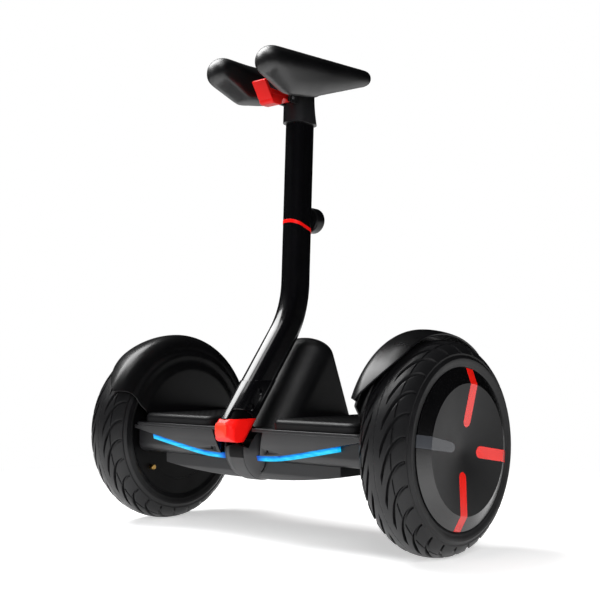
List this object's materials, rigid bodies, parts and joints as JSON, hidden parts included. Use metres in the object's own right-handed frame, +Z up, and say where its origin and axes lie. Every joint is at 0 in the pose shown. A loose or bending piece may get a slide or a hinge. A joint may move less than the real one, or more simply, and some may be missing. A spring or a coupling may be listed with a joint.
{
  "type": "self-balancing scooter",
  "caption": "Self-balancing scooter with hub-motor wheels under fenders, a standing deck with footpads, and a bent knee-steered bar of adjustable height with knee pads.",
  "frame": {"origin": "on the floor under the middle of the two wheels' common axle line", "axes": "+X to the right along the axles, -Y to the front, +Z up"},
  "size_m": [0.566, 0.2561, 0.6329],
  "materials": {
    "cast_aluminium": "cast, satin",
    "dark_aluminium": "black anodised, satin",
    "bare_aluminium": "drawn tube, satin",
    "bar_black": "gloss black coating",
    "steel": "ground steel",
    "valve_brass": "turned brass",
    "tyre": "moulded rubber, matte",
    "pad_rubber": "moulded rubber, matte",
    "body_plastic": "fine-grained black plastic",
    "shell_plastic": "satin black plastic",
    "cover_plastic": "satin black plastic",
    "gloss_black": "polished black plastic",
    "grey_plastic": "satin grey plastic",
    "battery_case": "plain moulded case",
    "circuit_board": "lacquered board",
    "red_plastic": "glossy red plastic",
    "red_plug": "soft red rubber",
    "smoke_plastic": "glossy smoked plastic",
    "pad_foam": "moulded foam with a smooth skin",
    "blue_light": "lit light-guide",
    "red_light": "red lens, lit"
  },
  "bodies": {
    "chassis": {"chassis_frame": "cast_aluminium", "lower_shell": "body_plastic", "deck": "body_plastic", "front_fascia": "body_plastic", "rear_fascia": "body_plastic", "nose_cover": "body_plastic", "nose_band": "gloss_black", "centre_console": "shell_plastic", "battery_pack": "battery_case", "battery_housing": "body_plastic", "controller_board": "circuit_board", "footpad_left": "pad_rubber", "footpad_right": "pad_rubber", "foot_sensors": "circuit_board", "fender_left": "shell_plastic", "fender_right": "shell_plastic", "light_strip_left": "blue_light", "light_strip_right": "blue_light", "tail_lights": "red_light", "axle_left": "steel", "axle_right": "steel", "axle_clamps": "cast_aluminium", "motor_stators": "steel", "steering_bearings": "steel", "charge_port": "shell_plastic"},
    "power_button": {"power_button": "grey_plastic"},
    "port_cover": {"port_cover": "pad_rubber"},
    "wheel_left": {"tyre_left": "tyre", "rim_left": "dark_aluminium", "rotor_magnets_left": "steel", "motor_cover_left": "dark_aluminium", "hub_cover_left": "cover_plastic", "red_inserts_left": "red_plastic", "smoke_insert_left": "smoke_plastic", "wheel_bearings_left": "steel", "valve_stem_left": "valve_brass"},
    "wheel_right": {"tyre_right": "tyre", "rim_right": "dark_aluminium", "rotor_magnets_right": "steel", "motor_cover_right": "dark_aluminium", "hub_cover_right": "cover_plastic", "red_inserts_right": "red_plastic", "smoke_insert_right": "smoke_plastic", "wheel_bearings_right": "steel", "valve_stem_right": "valve_brass"},
    "steering": {"steering_shaft": "steel", "steering_yoke": "dark_aluminium", "base_sleeve": "bar_black", "lower_bar": "bar_black", "inner_tube": "bare_aluminium", "seam_ring": "red_plastic", "red_cap": "red_plastic", "cap_plug": "red_plug"},
    "head": {"upper_bar": "bar_black", "pad_bracket": "body_plastic", "lever_pin": "steel", "knee_pad_left": "pad_foam", "knee_pad_right": "pad_foam"},
    "height_knob": {"height_knob": "shell_plastic"},
    "release_lever": {"release_lever": "red_plastic"}
  },
  "joints": [
    {"name": "wheel_left_spin", "type": "hinge", "parent": "chassis", "child": "wheel_left", "pos_m": [-0.241, 0, 0.128], "axis": [1, 0, 0], "continuous": true},
    {"name": "wheel_right_spin", "type": "hinge", "parent": "chassis", "child": "wheel_right", "pos_m": [0.241, 0, 0.128], "axis": [1, 0, 0], "continuous": true},
    {"name": "steering_tilt", "type": "hinge", "parent": "chassis", "child": "steering", "pos_m": [0, -0.06, 0.1268], "axis": [0, 1, 0], "range_deg": [-15, 15], "stiffness_Nm_per_rad": 30},
    {"name": "bar_height", "type": "slide", "parent": "steering", "child": "head", "axis": [0, 0.0436, 0.999], "range_m": [0, 0.105]},
    {"name": "height_knob_turn", "type": "hinge", "parent": "head", "child": "height_knob", "pos_m": [0, 0.01966, 0.42552], "axis": [0, 0.999, -0.0436], "range_deg": [0, 360]},
    {"name": "lever_pull", "type": "hinge", "parent": "head", "child": "release_lever", "pos_m": [0, -0.00342, 0.58467], "axis": [-1, 0, 0], "range_deg": [0, 35], "stiffness_Nm_per_rad": 0.4, "springref_deg": -17.19},
    {"name": "power_button_press", "type": "slide", "parent": "chassis", "child": "power_button", "axis": [0, -0.9397, -0.342], "range_m": [0, 0.0025], "stiffness_N_per_m": 1200, "springref_m": -0.001},
    {"name": "port_cover_flip", "type": "hinge", "parent": "chassis", "child": "port_cover", "pos_m": [0, 0.0992, 0.1415], "axis": [1, 0, 0], "range_deg": [0, 110]}
  ]
}
